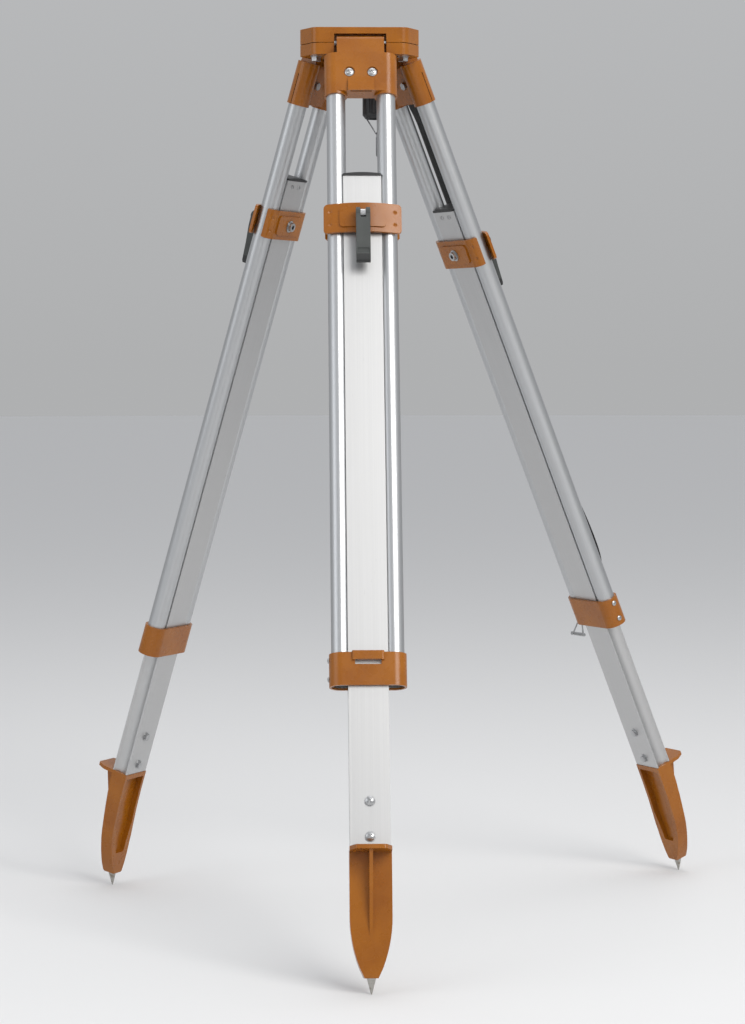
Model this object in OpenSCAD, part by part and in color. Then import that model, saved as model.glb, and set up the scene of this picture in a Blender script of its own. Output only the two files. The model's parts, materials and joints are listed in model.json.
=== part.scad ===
// Surveyor tripod: a flat-topped cast head on three telescoping aluminium legs with lever clamps.
// The origin is the centre of the head's top face, with +Z up and the front leg towards -Y.
// A leg is drawn in its own frame: the hinge pin is at the origin, +X points out of the leg's outer face,
// +Y runs across the leg and the leg goes down along -Z. Distances "down" are measured from the hinge pin.

/* [Stance] */
// Height of the head's top face above the ground
stance_height = 1110; // [1080:5:1160]
// Splay of the front leg from the vertical, degrees
splay_front = 20.1; // [16:0.1:26]
// Splay of the right leg from the vertical, degrees
splay_right = 24.2; // [16:0.1:26]
// Splay of the left leg from the vertical, degrees
splay_left = 17.9; // [16:0.1:26]

/* [Head] */
// Thickness of the whole head
head_h = 33; // [31:0.5:36]
// Depth of the joint between the two head castings below the top face
seam = 18.5; // [17:0.5:20]
// Distance from the centre to a long side of the head
head_side_r = 53.9; // [53:0.1:56]
// Distance from the centre to a cut-off corner of the head
head_corner_r = 76.3; // [75:0.1:79]
// Radius of the opening for the instrument screw
opening_r = 32; // [31:0.5:33]
// Width of the notch that takes a leg's hinge
notch_w = 64; // [63:0.5:68]
// Top of the notch below the top face
notch_top = 8; // [7:0.5:10]
// Distance from the centre to a hinge pin
hinge_r = 48; // [47.5:0.1:48.5]

/* [Upper leg] */
// Diameter of a leg tube
tube_d = 23; // [22:0.1:23]
// Wall of a leg tube
tube_wall = 1.5; // [1:0.1:2.5]
// Distance from the leg's middle to a tube's axis
tube_y = 30.5; // [30:0.1:31]
// Lower edge of the top bracket, down the leg
bracket_bottom = 74; // [70:1:76]
// Upper edge of the lower collar, down the leg
collar_top = 773; // [760:1:780]
// Height of the lower collar
collar_h = 38.5; // [36:0.5:42]

/* [Lower leg] */
// Length of the lower leg from its top end to the tip of the spike
lower_len = 972; // [960:1:980]
// Width of the lower leg's face
panel_w = 46; // [45:0.1:48]
// Thickness of the lower leg
panel_t = 22; // [21:0.1:22]
// Distance from the tip to the top of the foot casting
foot_len = 158; // [150:1:162]
// Distance from the tip to the middle of the clamp
clamp_up = 914.6; // [905:0.1:918]

/* [Clamp] */
// Width of the clamp plates
clamp_w = 93.6; // [93:0.2:95]
// Height of the clamp plates
clamp_h = 37; // [36:0.5:42]
// Thickness of the clamp plates
clamp_t = 3.6; // [3:0.2:4]
// Length of the clamp lever below its pin
lever_len = 61.6; // [50:0.2:66]
// Width of the clamp lever
lever_w = 17; // [17:0.5:20]

/* [Instrument screw] */
// Diameter of the instrument screw's thread
screw_d = 15.875; // [15.8:0.005:15.9]
// Diameter of the screw's knob
knob_d = 36; // [34:0.5:36]
// Underside of the knob below the head's top face
knob_bottom = 108; // [106:1:112]

/* [Hidden] */
$fn = 48;

// Colours
orange = [0.70, 0.37, 0.11];
silver = [0.78, 0.79, 0.80];
steel = [0.60, 0.61, 0.62];
black = [0.08, 0.08, 0.08];
graphite = [0.20, 0.21, 0.21];

// Play between parts: between parts that never touch, in a running fit, and past a cut's face
gap = 0.3;
running = 0.05;
over = 1;

// A leg is [heading, splay]: the direction it points and how far it leans out
front = [-90, splay_front];
right = [30, splay_right];
left = [150, splay_left];
legs = [front, right, left];

// Head
corner_round = 11;
pin_r = 3;
pin_len = 84;
barrel_r = 5.5;
notch_back = hinge_r - barrel_r - 2.5;
corner_bolt_r = 62;
corner_bolt_d = 8;
pivot_y = 46;
pivot_d = 8;

// Swinging arm: it hangs under the head and its slot carries the bush
arm_top = -head_h - 0.4;
arm_t = 6;
screw_x = 22;
screw_y = -8;
arm_reach = sqrt(pow(screw_x, 2) + pow(pivot_y - screw_y, 2));
arm_turn = atan2(screw_x, pivot_y - screw_y);
slot_travel = 24;
bush_r = 11;
bush_flange_r = 14;
arm_end_r = 16;

// Instrument screw
screw_r = screw_d / 2;
screw_top = -2;
neck_top = -60;
knob_top = -74;
washer_t = 1.5;
bail_r = 0.8;
bail_drop = 18;
bail_bend_r = bail_r * 1.15;
bail_flat = 1.2;
hook_len = 30;

// Upper leg
tube_r = tube_d / 2;
socket_r = 14;
hood_out = 17.4;
tube_top = 24;
tongue_w = 58;
shoulder = 20;
bracket_screw_y = 14;
bracket_screw_down = 46;
collar_w = 89;
collar_d = 30.5;
collar_bottom = collar_top + collar_h;
// Distances of the collar's screws below its upper edge
COLLAR_SCREWS = [7, 29];

// Lower leg
nest_r = tube_r + 0.5;
panel_wall = 2;
bolt_head_r = 6;
upper_bolt_up = 210.7;
lower_bolt_up = 170.7;
spike_up = 21;
spike_r = 5.8;
tip_in = 21.3;
tip_r = 0.8;
foot_w = 47.5;
foot_end_w = 19;
foot_parallel = 75;

// Clamp
arc_outer = 141;
arc_centre = -121.2;
arc_inner = arc_outer - clamp_t;
dimple_y = 39;
dimple_up = 8;
raised_w = 56;
raised_h = 25;
lever_pin_x = 30;
cam_r = 7.5;
lever_pin_r = 2.5;
clamp_bolt_r = 3;

// Strap on the right leg: its middle line as [down, height off the leg's axis plane], placed by hand
STRAP_LINE = [
    [59, 19], [70, 19], [84, 20.5], [100, 22.5], [130, 23], [220, 23], [330, 23], [440, 23.5], [530, 26.5],
    [590, 32], [645, 41], [690, 45], [730, 45], [752, 40], [768, 30.5], [779, 22.5], [788, 17], [798, 17]
];
strap_y = 27;
strap_w = 25;
strap_t = 1.6;
strap_screw_in = 5;
strap_screw_r = 1.6;
// Height off the leg's axis plane at which the screws' shanks end
strap_screw_end = 12.2;
strap_first = STRAP_LINE[0];
strap_last = STRAP_LINE[len(STRAP_LINE) - 1];
// Each strap screw as [down, height of the strap's outer face]
STRAP_SCREWS = [
    [strap_first[0] + strap_screw_in, strap_first[1] + strap_t / 2],
    [strap_last[0] - strap_screw_in, strap_last[1] + strap_t / 2]
];

// Ring on the end of the right collar, its staple and the wires of both
ring_x = 6;
ring_y = 51;
ring_down = 807;
ring_wire_r = 1.1;
staple_r = 1.3;
staple_half = 5;
staple_post_r = 1.1;

// Distance down the leg from its hinge pin to the tip of its spike
function tip_down(leg) = (stance_height - seam - tip_in * sin(leg[1])) / cos(leg[1]);
function clamp_down(leg) = tip_down(leg) - clamp_up;

// Outline helpers ---------------------------------------------------------------------------------

function unit(v) = v / norm(v);

// A convex outline with every corner rounded: tangent points joined up, with a true circle in each corner
module rounded(points, r) {
    n = len(points);
    a = [for (i = [0:n - 1]) unit(points[(i + n - 1) % n] - points[i])];
    b = [for (i = [0:n - 1]) unit(points[(i + 1) % n] - points[i])];
    half = [for (i = [0:n - 1]) acos(a[i] * b[i]) / 2];
    polygon([for (i = [0:n - 1]) each [points[i] + a[i] * r / tan(half[i]), points[i] + b[i] * r / tan(half[i])]]);
    for (i = [0:n - 1])
        translate(points[i] + unit(a[i] + b[i]) * r / sin(half[i])) circle(r);
}

module rounded_rect(x, y, r) {
    rounded([[-x / 2, -y / 2], [x / 2, -y / 2], [x / 2, y / 2], [-x / 2, y / 2]], r);
}

// A slot outline with round ends, long along Y
module stadium(length, width) {
    square([width, length - width], center = true);
    for (side = [-1, 1]) translate([0, side * (length - width) / 2]) circle(width / 2);
}

// The neck between two rounds of radius r1 and r2, along -Y; its sides lie just inside the common tangents
module neck(reach, r1, r2) {
    lean = asin((r2 - r1) / reach);
    a = r1 - 0.05;
    b = r2 - 0.05;
    polygon([
        [a * cos(lean), a * sin(lean)], [b * cos(lean), b * sin(lean) - reach],
        [-b * cos(lean), b * sin(lean) - reach], [-a * cos(lean), a * sin(lean)]
    ]);
}

// Puts a leg's parts where that leg stands
module at_leg(leg) {
    rotate([0, 0, leg[0]]) translate([hinge_r, 0, -seam]) rotate([0, -leg[1], 0]) children();
}

// Moves down the leg
module down(distance) {
    translate([0, 0, -distance]) children();
}

// Draws a cylinder along the leg's outward direction, from x1 to x2
module along_x(x1, x2, r) {
    translate([x1, 0, 0]) rotate([0, 90, 0]) cylinder(h = x2 - x1, r = r);
}

// Extrudes an outline drawn with X outwards and Y up the leg, across the leg and centred on it
module across_leg(width) {
    rotate([90, 0, 0]) linear_extrude(width, center = true) children();
}

// Extrudes an outline drawn with X across the leg and Y up the leg, outwards from x1 to x2
module out_of_leg(x1, x2) {
    translate([x1, 0, 0]) rotate([90, 0, 90]) linear_extrude(x2 - x1) children();
}

// A pan-head screw along -X with its seat at the origin: domed head, cross recess and shank
module pan_screw(head_r, head_h, shank_r, shank_len) {
    dome_r = head_r * 1.7;
    difference() {
        rotate([0, 90, 0]) rotate_extrude() intersection() {
            square([head_r, head_h + over]);
            translate([0, head_h - dome_r]) circle(dome_r);
        }
        for (turn = [45, 135])
            rotate([turn, 0, 0]) translate([head_h, 0, 0]) cube([head_h, head_r * 1.1, head_r * 0.22], center = true);
    }
    along_x(-shank_len, 0.1, shank_r);
}

module hex_prism(h, r) {
    cylinder(h = h, r = r, $fn = 6);
}

// Head --------------------------------------------------------------------------------------------

module head_outline() {
    corner_half = (head_side_r - head_corner_r * cos(60)) / sin(60);
    rounded([
        for (turn = [-30, 90, 210]) each [
            [cos(turn) * head_corner_r + sin(turn) * corner_half, sin(turn) * head_corner_r - cos(turn) * corner_half],
            [cos(turn) * head_corner_r - sin(turn) * corner_half, sin(turn) * head_corner_r + cos(turn) * corner_half]
        ]
    ], corner_round);
}

module hinge_notches() {
    for (leg = legs)
        rotate([0, 0, leg[0]]) translate([notch_back, -notch_w / 2, -head_h - over])
            cube([head_side_r, notch_w, head_h - notch_top + over]);
}

module hinge_pin_bores() {
    for (leg = legs)
        rotate([0, 0, leg[0]]) translate([hinge_r, 0, -seam]) rotate([90, 0, 0])
            cylinder(h = pin_len + 2 * running, r = pin_r, center = true);
}

module corner_bolt_holes() {
    for (turn = [-30, 90, 210])
        rotate([0, 0, turn]) translate([corner_bolt_r, 0, -head_h - over])
            cylinder(h = head_h - 6 + over, r = corner_bolt_d / 2);
}

module head_top_plate() {
    color(orange) difference() {
        translate([0, 0, -seam]) linear_extrude(seam) head_outline();
        translate([0, 0, -seam - over]) cylinder(h = seam + 2 * over, r = opening_r);
        translate([0, 0, -1.2]) cylinder(h = 1.2 + over, r1 = opening_r, r2 = opening_r + 1.2 + over);
        hinge_notches();
        hinge_pin_bores();
        corner_bolt_holes();
    }
}

module head_bottom_plate() {
    groove = 0.8;
    color(orange) difference() {
        union() {
            translate([0, 0, -head_h]) linear_extrude(head_h - seam - groove) head_outline();
            translate([0, 0, -seam - groove]) linear_extrude(groove) intersection() {
                head_outline();
                circle(head_corner_r - 3);
                rounded([for (turn = [-90, 30, 150]) 2 * (head_side_r - 1) * [cos(turn + 60), sin(turn + 60)]], 4);
            }
        }
        translate([0, 0, -head_h - over]) cylinder(h = head_h, r = opening_r + 1.5);
        hinge_notches();
        hinge_pin_bores();
        corner_bolt_holes();
        translate([0, pivot_y, -head_h - over]) cylinder(h = 11 + over, r = pivot_d / 2);
    }
}

module head_corner_bolts() {
    color(steel) for (turn = [-30, 90, 210]) rotate([0, 0, turn]) translate([corner_bolt_r, 0, 0]) {
        translate([0, 0, -head_h - 1.2]) cylinder(h = 1.2, r = 7);
        translate([0, 0, -head_h - 6.2]) hex_prism(5.05, 6.4);
        translate([0, 0, -head_h]) cylinder(h = head_h - 6.5, r = corner_bolt_d / 2);
    }
}

module hinge_pins() {
    color(steel) for (leg = legs)
        rotate([0, 0, leg[0]]) translate([hinge_r, 0, -seam]) rotate([90, 0, 0])
            cylinder(h = pin_len, r = pin_r, center = true);
}

module arm_pivot_bolt() {
    head_z = arm_top - arm_t - 0.3;
    color(steel) {
        translate([0, pivot_y, head_z]) cylinder(h = -head_h + 10.5 - head_z, r = pivot_d / 2);
        translate([0, pivot_y, head_z - 1]) cylinder(h = 1, r = 6.5);
        translate([0, pivot_y, head_z - 5.5]) hex_prism(4.6, 6);
    }
}

// Instrument screw on its swinging arm --------------------------------------------------------------

module at_arm() {
    translate([0, pivot_y, 0]) rotate([0, 0, arm_turn]) children();
}

// A slot-shaped solid along the arm, as long as the bush's travel
module arm_slot(h, r) {
    for (back = [0, slot_travel]) translate([0, back - arm_reach, 0]) cylinder(h = h, r = r);
    translate([-r, -arm_reach, 0]) cube([2 * r, slot_travel, h]);
}

module screw_arm() {
    eye_r = 8;
    color(black) at_arm() translate([0, 0, arm_top - arm_t]) difference() {
        union() {
            cylinder(h = arm_t, r = eye_r);
            linear_extrude(arm_t) neck(arm_reach - slot_travel, eye_r, arm_end_r);
            arm_slot(arm_t, arm_end_r);
        }
        translate([0, 0, -over]) {
            cylinder(h = arm_t + 2 * over, r = pivot_d / 2 + running);
            arm_slot(arm_t + 2 * over, bush_r + 0.25);
        }
    }
}

module screw_bush() {
    color(silver) translate([screw_x, screw_y, 0]) difference() {
        union() {
            translate([0, 0, arm_top - arm_t - 3.6]) cylinder(h = 3, r = bush_flange_r);
            translate([0, 0, arm_top - arm_t - 1]) cylinder(h = arm_t + 1, r = bush_r);
        }
        translate([0, 0, -100]) cylinder(h = 100, r = screw_r + running);
    }
}

module thrust_washer() {
    color(silver) translate([screw_x, screw_y, neck_top + gap]) difference() {
        cylinder(h = washer_t, r = 12);
        translate([0, 0, -over]) cylinder(h = washer_t + 2 * over, r = screw_r + running);
    }
}

module instrument_screw() {
    color(silver) translate([screw_x, screw_y, 0]) {
        translate([0, 0, knob_top + 6]) cylinder(h = screw_top - 1.5 - knob_top - 6, r = screw_r);
        translate([0, 0, screw_top - 1.5]) cylinder(h = 1.5, r1 = screw_r, r2 = screw_r - 1.5);
    }
}

module screw_knob() {
    knob_r = knob_d / 2;
    chamfer = 4.5;
    hollow_r = knob_r - 4.6;
    color(black) translate([screw_x, screw_y, 0]) difference() {
        union() {
            translate([0, 0, knob_top - 1]) cylinder(h = neck_top - knob_top + 1, r = 11);
            translate([0, 0, -knob_bottom + chamfer]) cylinder(h = knob_bottom + knob_top - chamfer, r = knob_r);
            translate([0, 0, -knob_bottom]) cylinder(h = chamfer, r1 = knob_r - chamfer * 0.8, r2 = knob_r);
        }
        translate([0, 0, knob_top + 6 - running]) cylinder(h = 100, r = screw_r);
        // Hollow underside, with the ends of the bail in its rim
        translate([0, 0, -knob_bottom - over]) cylinder(h = 8 + over, r = hollow_r);
        for (turn = [0:20:340])
            rotate([0, 0, turn]) translate([knob_r + 1.6, 0, -knob_bottom + chamfer + 2])
                cylinder(h = knob_bottom + knob_top, r = 2.4);
        translate([0, 0, -knob_bottom + 4]) rotate([0, 90, 0])
            cylinder(h = 2 * knob_r - 3.4, r = bail_r + running, center = true);
    }
}

// A straight round wire between two points
module wire(a, b, r) {
    d = b - a;
    translate(a) rotate([0, acos(d[2] / norm(d)), atan2(d[1], d[0])]) cylinder(h = norm(d), r = r, $fn = 24);
}

module plumb_bail() {
    pin_z = 4;
    side = knob_d / 2 - 6;
    color(steel) translate([screw_x, screw_y, -knob_bottom]) {
        for (mirror_x = [-1, 1]) {
            wire([mirror_x * (side + 3.9), 0, pin_z], [mirror_x * side, 0, pin_z], bail_r);
            translate([mirror_x * side, 0, pin_z]) sphere(bail_bend_r, $fn = 24);
            wire([mirror_x * side, 0, pin_z], [mirror_x * side, 0, -1], bail_r);
            translate([mirror_x * side, 0, -1]) sphere(bail_bend_r, $fn = 24);
            wire([mirror_x * side, 0, -1], [mirror_x * bail_flat, 0, -bail_drop], bail_r);
            translate([mirror_x * bail_flat, 0, -bail_drop]) sphere(bail_bend_r, $fn = 24);
        }
        wire([-bail_flat, 0, -bail_drop], [bail_flat, 0, -bail_drop], bail_r);
    }
}

module plumb_hook() {
    eye_r = 3.3;
    eye_wire_r = 0.65;
    eye_drop = eye_r - eye_wire_r - bail_bend_r - running;
    hook_r = 2.6;
    shaft_top = -eye_drop - eye_r + 0.4;
    color(graphite) translate([screw_x, screw_y, -knob_bottom - bail_drop]) {
        // Eye that hangs on the bail's lower bend
        translate([0, 0, -eye_drop]) rotate([0, 90, 0]) rotate_extrude()
            translate([eye_r, 0]) circle(eye_wire_r, $fn = 24);
        translate([0, 0, -hook_len + 4]) cylinder(h = shaft_top + hook_len - 4, r = 1.3);
        // Hook at the lower end
        translate([hook_r, 0, -hook_len + 4]) rotate([90, 180, 0]) rotate_extrude(angle = 200)
            translate([hook_r, 0]) circle(1.2, $fn = 24);
    }
}

// Upper leg ---------------------------------------------------------------------------------------

// The bracket's hinge tongue: its barrel round the pin, and the plate that runs on from the bracket's outer face
module tongue() {
    rotate([90, 0, 0]) cylinder(h = tongue_w, r = barrel_r, center = true);
    across_leg(tongue_w) polygon([
        [-barrel_r + 0.3, 0], [-barrel_r, -9], [-10, -shoulder - 3], [socket_r - 1, -shoulder - 3],
        [socket_r - 0.6, -shoulder], [9, 0], [8.6, 3], [7, 5], [1.5, 5]
    ]);
}

// Side outline of the hood over the strap slot: X outwards, Y up
module hood_outline() {
    polygon([[socket_r - 1, -shoulder - 30], [hood_out, -shoulder - 43], [hood_out, -bracket_bottom + 2],
             [socket_r - 1, -bracket_bottom + 2]]);
}

module bracket(leg) {
    body_h = bracket_bottom - shoulder;
    hood_w = 32;
    color(orange) at_leg(leg) difference() {
        union() {
            tongue();
            for (side = [-1, 1]) translate([0, side * tube_y, -bracket_bottom]) cylinder(h = body_h, r = socket_r);
            translate([-8.5, -tube_y, -bracket_bottom + 3]) cube([8.5 + socket_r, 2 * tube_y, body_h - 3]);
            across_leg(hood_w) hood_outline();
        }
        // Tube sockets
        for (side = [-1, 1])
            translate([0, side * tube_y, -bracket_bottom - over])
                cylinder(h = bracket_bottom - tube_top + over, r = tube_r);
        // Strap slot under the hood
        translate([socket_r - 3.4, -13, -bracket_bottom - over]) cube([4.8, 26, 10]);
        // Clamping slit down the outer side of each socket
        for (side = [-1, 1])
            translate([2, side * 44 - 5, -bracket_bottom - over]) cube([1.2, 10, 40]);
        // Hinge pin
        rotate([90, 0, 0]) cylinder(h = 100, r = pin_r + running, center = true);
        // Screws
        for (side = [-1, 1]) translate([0, side * bracket_screw_y, -bracket_screw_down]) {
            along_x(-20, 40, 2.6);
            along_x(socket_r - 1.6, 40, 6.8);
        }
        if (leg == right) strap_screw_holes(0.2, strap_screw_r + running);
    }
}

module tubes(leg) {
    top = tube_top + 0.2;
    color(silver) at_leg(leg) for (side = [-1, 1])
        translate([0, side * tube_y, -collar_bottom + 2]) difference() {
            cylinder(h = collar_bottom - 2 - top, r = tube_r);
            translate([0, 0, -over]) cylinder(h = collar_bottom, r = tube_r - tube_wall);
        }
}

module bracket_screws(leg) {
    seat = socket_r - 1.6;
    color(steel) at_leg(leg) for (side = [-1, 1])
        translate([0, side * bracket_screw_y, -bracket_screw_down]) {
            translate([seat, 0, 0]) pan_screw(5.6, 2.6, 2.5, seat + 12);
            translate([-12.6, 0, 0]) rotate([0, 90, 0]) hex_prism(4, 5);
        }
}

module collar(leg) {
    lip_w = 37;
    lip_h = 10.6;
    window_w = 30;
    color(orange) at_leg(leg) difference() {
        union() {
            down(collar_bottom) linear_extrude(collar_h) stadium(collar_w, collar_d);
            // Lip over the strap window
            down(collar_top - 1 + lip_h) linear_extrude(lip_h) translate([collar_d / 2, 0])
                rounded_rect(7, lip_w, 2.4);
        }
        down(collar_bottom + over) linear_extrude(collar_h + 4) stadium(2 * (tube_y + tube_r), tube_d);
        translate([tube_r - over, -window_w / 2, -collar_top - 14.2]) cube([10, window_w, 5.2]);
        for (drop = COLLAR_SCREWS) down(collar_top + drop) rotate([0, 0, -90]) along_x(tube_y + 5, 60, 1.6);
        if (leg == right) {
            strap_screw_holes(0.2, strap_screw_r + running);
            staple_posts(staple_post_r + running, 30);
        }
    }
}

module collar_screws(leg) {
    color(steel) at_leg(leg) for (drop = COLLAR_SCREWS)
        down(collar_top + drop) rotate([0, 0, -90]) translate([collar_w / 2 + running, 0, 0])
            pan_screw(3.2, 1.9, 1.5, 2.3);
}

// Lower leg ---------------------------------------------------------------------------------------

// The profile's sides are hollowed to nest against the tubes
module panel_outline(wall) {
    difference() {
        square([panel_t - 2 * wall, panel_w - 2 * wall], center = true);
        for (side = [-1, 1]) translate([0, side * tube_y]) circle(nest_r + wall, $fn = 96);
    }
}

module lower_leg(leg) {
    tip = tip_down(leg);
    color(silver) at_leg(leg) difference() {
        down(tip - foot_len - 0.2) linear_extrude(lower_len - foot_len - 0.2) difference() {
            panel_outline(0);
            panel_outline(panel_wall);
        }
        for (up = [upper_bolt_up, lower_bolt_up]) down(tip - up) along_x(-20, 20, 2.6);
        down(clamp_down(leg)) along_x(-20, 20, clamp_bolt_r + running);
        for (side = [-1, 1]) translate([0, side * 8, -(tip - lower_len + 8)]) along_x(-20, 0, 1.6);
    }
}

module end_cap(leg) {
    top = tip_down(leg) - lower_len;
    cap_t = 2.6;
    dome_r = 160;
    color(black) at_leg(leg) difference() {
        union() {
            down(top) intersection() {
                linear_extrude(cap_t + 2) difference() {
                    rounded_rect(panel_t + 2.6, panel_w + 1, 2.4);
                    for (side = [-1, 1]) translate([0, side * tube_y]) circle(nest_r - 0.15, $fn = 96);
                }
                translate([-20, 0, cap_t + 1.6 - dome_r]) rotate([0, 90, 0]) cylinder(h = 40, r = dome_r, $fn = 128);
            }
            down(top + 13) linear_extrude(13.1) panel_outline(panel_wall + 0.1);
        }
        for (side = [-1, 1]) translate([0, side * 8, -(top + 8)]) along_x(-20, 0, 1.25);
    }
}

module leg_bolts(leg) {
    tip = tip_down(leg);
    face = panel_t / 2;
    color(steel) at_leg(leg) {
        for (up = [upper_bolt_up, lower_bolt_up]) down(tip - up) {
            translate([face + 0.7, 0, 0]) pan_screw(5.2, 3, 2.5, panel_t + 4.2);
            along_x(face, face + 0.8, bolt_head_r);
            along_x(-face - 0.8, -face, bolt_head_r);
            translate([-face - 3.6, 0, 0]) rotate([0, 90, 0]) hex_prism(2.9, 4.9);
        }
        for (side = [-1, 1]) translate([-face, side * 8, -(tip - lower_len + 8)])
            rotate([0, 0, 180]) pan_screw(2.8, 1.5, 1.2, 7);
    }
}

// Side outline of the foot casting: X outwards, Y up from the tip of the spike
module foot_side() {
    polygon([
        [-11.7, foot_len], [-11.9, 130], [-12.6, 105], [-14.2, 80], [-16.8, 57], [-20.2, 38], [-23.8, spike_up - 1],
        [-23.4, spike_up - 3], [-7.4, spike_up - 5], [-5.8, spike_up - 3], [-4, 28], [-2, 41], [0, 54],
        [1.9, 66], [4.2, 84], [7, 104], [9.4, 125], [11.5, foot_len]
    ]);
}

// Front outline of the foot casting: X across, Y up from the tip
module foot_front() {
    taper = foot_len - foot_parallel - spike_up;
    function half_width(u) = foot_end_w / 2 + (foot_w - foot_end_w) / 2 * sin(90 * pow(u, 0.85));
    right_edge = [for (u = [0:0.125:1]) [half_width(u), spike_up - 1 + u * (taper + 1)]];
    left_edge = [for (i = [0:8]) [-right_edge[8 - i][0], right_edge[8 - i][1]]];
    polygon(concat(
        [[foot_end_w / 2 - 2.5, spike_up - 6]], right_edge, [[foot_w / 2, foot_len], [-foot_w / 2, foot_len]],
        left_edge, [[-foot_end_w / 2 + 2.5, spike_up - 6]]
    ));
}

module foot(leg) {
    step_out = 38;
    color(orange) at_leg(leg) down(tip_down(leg)) difference() {
        union() {
            intersection() {
                across_leg(foot_w) foot_side();
                out_of_leg(-30, 30) foot_front();
            }
            // Step for the user's shoe
            translate([0, 0, foot_len - 4.6]) linear_extrude(4.6) rounded([
                [6, -foot_w / 2], [25, -foot_w / 2], [step_out, -17], [step_out, 17], [25, foot_w / 2], [6, foot_w / 2]
            ], 4);
            // Gusset under the step
            across_leg(4) polygon([[0, foot_len - 4], [step_out - 4, foot_len - 4], [0, foot_len - 100]]);
            // Tang inside the lower leg
            translate([-8.6, -14.5, foot_len - 1]) cube([17.2, 29, 66]);
        }
        // Rounded pocket in the inner face
        intersection() {
            across_leg(foot_w) polygon([
                [-40, foot_len + over], [-2.6, foot_len - 9], [-3.4, 110], [-6, 84], [-9.4, 60], [-13.4, 44],
                [-40, 38]
            ]);
            out_of_leg(-40, 10) rounded([[-19.5, foot_len - 4], [-19, 84], [-9, 46], [9, 46], [19, 84],
                                         [19.5, foot_len - 4]], 3);
        }
        translate([-14.4, 0, spike_up]) spike_axis() down(9) cylinder(h = 20, r = spike_r);
        for (up = [upper_bolt_up, lower_bolt_up]) translate([0, 0, up]) along_x(-20, 20, 2.55);
    }
}

// Turns the Z axis from the leg's direction to the spike's
module spike_axis() {
    rotate([0, atan2(tip_in - 14.4, spike_up), 0]) children();
}

module spike(leg) {
    point_len = norm([tip_in - 14.4, spike_up]);
    color(steel) at_leg(leg) down(tip_down(leg)) translate([-14.4, 0, spike_up]) spike_axis() {
        down(2.4) cylinder(h = 13, r = spike_r);
        down(point_len - tip_r) cylinder(h = point_len - tip_r - 2.3, r1 = tip_r, r2 = spike_r);
        down(point_len - tip_r) sphere(tip_r, $fn = 24);
    }
}

// Clamp -------------------------------------------------------------------------------------------

// The outline of both clamp plates as seen from the front, with rounded corners
module plate_front(height) {
    out_of_leg(-60, 60) rounded_rect(clamp_w, height, 5);
}

// A shallow cone, 3 in radius where it meets the plate's face, cut from depth inside that face
module dimple(depth) {
    translate([-depth, 0, 0]) rotate([0, 90, 0]) cylinder(h = 2 * depth, r1 = 0.3, r2 = 5.7);
}

module clamp_front(leg) {
    bow_x = arc_centre + arc_outer;
    color(orange) at_leg(leg) down(clamp_down(leg)) difference() {
        union() {
            intersection() {
                linear_extrude(clamp_h, center = true) translate([arc_centre, 0]) difference() {
                    circle(arc_outer, $fn = 180);
                    circle(arc_inner, $fn = 180);
                }
                plate_front(clamp_h);
            }
            // Raised panel in the middle
            intersection() {
                translate([arc_centre + 2, 0, 0]) cylinder(h = clamp_h, r = arc_outer, center = true, $fn = 180);
                out_of_leg(bow_x - 6, bow_x + 3) rounded_rect(raised_w, raised_h, 5);
            }
        }
        for (side = [-1, 1], up = [-1, 1])
            translate([arc_centre, 0, up * dimple_up]) rotate([0, 0, side * asin(dimple_y / arc_outer)])
                translate([arc_outer, 0, 0]) dimple(1.6);
        // Hollow behind the raised panel, and the hole for the bolt
        intersection() {
            translate([arc_centre + 2, 0, 0]) cylinder(h = clamp_h, r = arc_inner, center = true, $fn = 180);
            out_of_leg(bow_x - 8, bow_x + 3) rounded_rect(raised_w - 5, raised_h - 5, 4);
        }
        along_x(-20, 40, clamp_bolt_r + 0.6);
    }
}

module clamp_rear(leg) {
    wrap = 6;
    inner = tube_r + 0.5;
    outer = inner + clamp_t;
    color(orange) at_leg(leg) down(clamp_down(leg)) difference() {
        union() {
            intersection() {
                linear_extrude(clamp_h, center = true) {
                    translate([-outer, -tube_y]) square([clamp_t, 2 * tube_y]);
                    for (side = [-1, 1]) translate([0, side * tube_y]) difference() {
                        circle(outer);
                        circle(inner);
                        translate([-wrap, -outer - over]) square([2 * outer, 2 * outer + 2 * over]);
                        translate([-outer - over, side > 0 ? -outer - over : 0])
                            square([2 * outer, outer + over]);
                    }
                }
                plate_front(clamp_h);
            }
            out_of_leg(-outer - 1.8, -outer + 1) rounded_rect(raised_w, raised_h, 5);
        }
        out_of_leg(-outer + 1, -outer + clamp_t + 1) rounded_rect(raised_w - 5, raised_h - 5, 4);
        for (side = [-1, 1], up = [-1, 1])
            translate([0, side * tube_y, up * dimple_up])
                rotate([0, 0, 180 - side * asin((dimple_y - tube_y) / outer)])
                    translate([outer, 0, 0]) dimple(1.6);
        along_x(-40, 20, clamp_bolt_r + 0.6);
    }
}

module clamp_bolt(leg) {
    rear = tube_r + 0.5 + clamp_t + 1.8;
    color(steel) at_leg(leg) down(clamp_down(leg)) difference() {
        union() {
            along_x(-rear - 3, lever_pin_x - 3, clamp_bolt_r);
            translate([lever_pin_x, 0, 0]) rotate([90, 0, 0]) cylinder(h = 6, r = 5.4, center = true);
            along_x(-rear - 1, -rear, 7.5);
            along_x(-rear - 5.2, -rear - 0.9, 5.6);
        }
        translate([-rear - 5.2, 0, 0]) rotate([0, 90, 0]) hex_prism(5, 3);
        translate([lever_pin_x, 0, 0]) rotate([90, 0, 0]) cylinder(h = 30, r = lever_pin_r, center = true);
    }
}

module lever_pin(leg) {
    color(steel) at_leg(leg) down(clamp_down(leg)) translate([lever_pin_x, 0, 0]) rotate([90, 0, 0])
        cylinder(h = lever_w - 0.4, r = lever_pin_r, center = true);
}

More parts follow.
